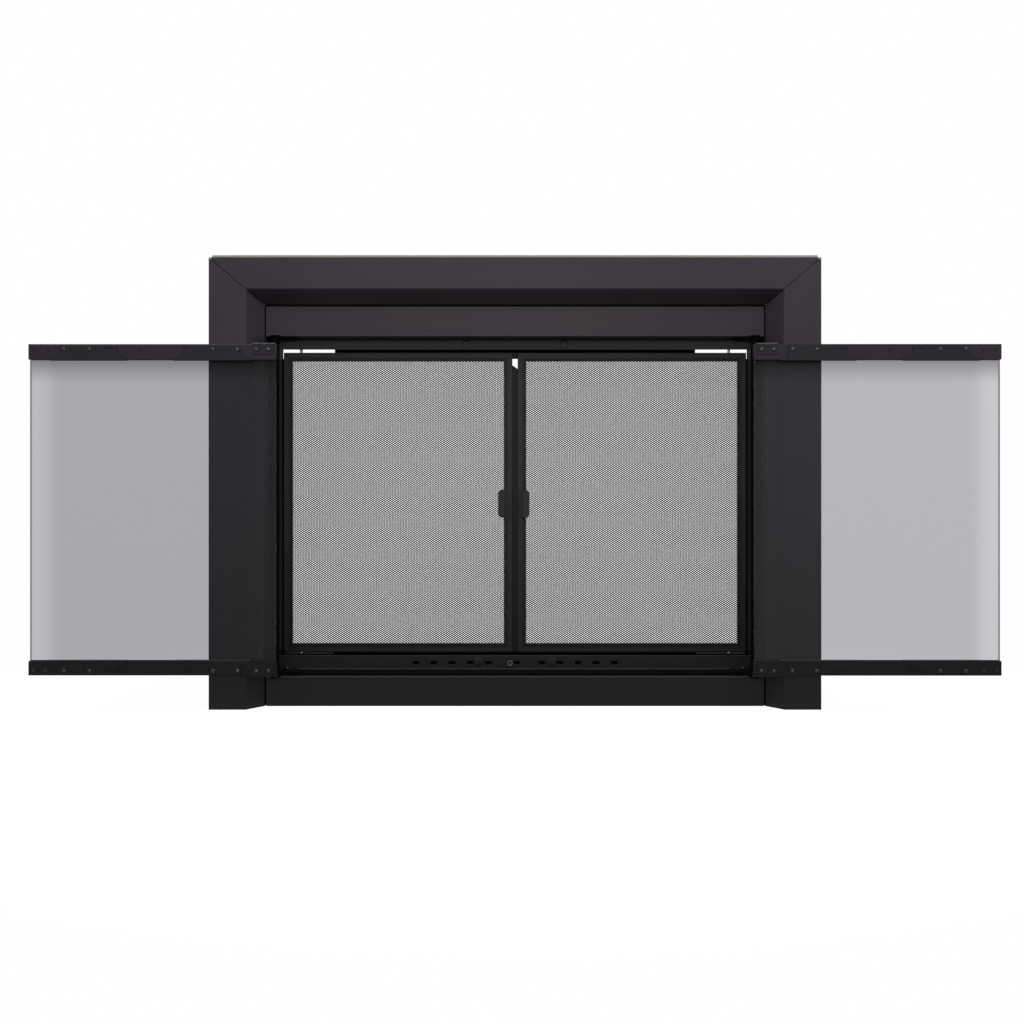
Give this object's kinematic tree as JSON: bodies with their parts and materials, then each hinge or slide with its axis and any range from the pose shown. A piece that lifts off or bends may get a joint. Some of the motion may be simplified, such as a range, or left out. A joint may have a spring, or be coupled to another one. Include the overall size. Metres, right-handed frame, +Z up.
{
  "type": "fireplace glass door",
  "caption": "Black sheet-steel surround for a masonry fireplace with folding tinted glass doors over hinged mesh screen doors, and a sill with a sliding air damper.",
  "frame": {"origin": "middle of the frame's bottom edge, where the hearth meets the wall's face", "axes": "+X along the front to the right, +Z up, +Y into the wall; the front faces -Y"},
  "size_m": [1.6146, 0.2225, 0.761],
  "materials": {
    "surround_paint": "satin charcoal baked enamel on folded sheet steel",
    "black_paint": "satin black baked enamel",
    "door_paint": "satin dark enamel on the door rails, clips and hinge plates",
    "mesh_paint": "black paint on bars and woven steel mesh",
    "screw_black": "blackened steel of screws and hinge pins",
    "zinc": "dull zinc-plated steel",
    "knob_steel": "turned bare steel",
    "glass": "grey-tinted tempered glass",
    "pad_rubber": "black heat-proof channel gasket",
    "seal_wool": "pale glass-fibre sealing strip",
    "magnet": "black round catch"
  },
  "bodies": {
    "frame": {"surround_top": "surround_paint", "surround_left": "surround_paint", "surround_right": "surround_paint", "sealing_strip": "seal_wool", "corner_brackets": "black_paint", "header_plate": "surround_paint", "bottom_rail": "black_paint", "inner_header": "black_paint", "sill": "black_paint", "jamb_left": "black_paint", "jamb_right": "black_paint", "mesh_stop_strip": "black_paint", "mesh_catch": "magnet", "top_hinge_brackets": "black_paint", "bottom_hinge_brackets": "black_paint", "hinge_pins": "screw_black", "hinge_spacers": "zinc", "top_pivot_brackets": "black_paint", "bottom_pivot_brackets": "black_paint", "lintel_clamps": "zinc", "clamp_bolts": "zinc", "clamp_nuts": "zinc", "hearth_brackets": "black_paint", "bracket_screws": "screw_black", "frame_screws": "screw_black"},
    "damper": {"damper_plate": "black_paint", "damper_knob": "knob_steel"},
    "left_glass_door": {"left_glass": "glass", "left_top_rail": "door_paint", "left_bottom_rail": "black_paint", "left_glass_clips": "door_paint", "left_glass_pads": "pad_rubber", "left_rail_screws": "screw_black", "left_hinge_plates": "door_paint", "left_door_pull": "black_paint"},
    "right_glass_door": {"right_glass": "glass", "right_top_rail": "door_paint", "right_bottom_rail": "black_paint", "right_glass_clips": "door_paint", "right_glass_pads": "pad_rubber", "right_rail_screws": "screw_black", "right_hinge_plates": "door_paint", "right_door_pull": "black_paint"},
    "left_mesh_door": {"left_mesh_frame": "mesh_paint", "left_mesh_screen": "mesh_paint", "left_mesh_tab": "mesh_paint", "left_mesh_pins": "zinc", "meeting_strip": "mesh_paint"},
    "right_mesh_door": {"right_mesh_frame": "mesh_paint", "right_mesh_screen": "mesh_paint", "right_mesh_tab": "mesh_paint", "right_mesh_pins": "zinc"}
  },
  "joints": [
    {"name": "damper_slide", "type": "slide", "parent": "frame", "child": "damper", "axis": [1, 0, 0], "range_m": [0, 0.016]},
    {"name": "left_glass_hinge", "type": "hinge", "parent": "frame", "child": "left_glass_door", "pos_m": [-0.404, -0.082, 0.334], "axis": [0, 0, 1], "range_deg": [0, 180]},
    {"name": "right_glass_hinge", "type": "hinge", "parent": "frame", "child": "right_glass_door", "pos_m": [0.404, -0.082, 0.334], "axis": [0, 0, -1], "range_deg": [0, 180]},
    {"name": "left_mesh_hinge", "type": "hinge", "parent": "frame", "child": "left_mesh_door", "pos_m": [-0.371, -0.021, 0.345], "axis": [0, 0, 1], "range_deg": [-100, 0]},
    {"name": "right_mesh_hinge", "type": "hinge", "parent": "frame", "child": "right_mesh_door", "pos_m": [0.371, -0.021, 0.345], "axis": [0, 0, -1], "range_deg": [-100, 0]}
  ]
}
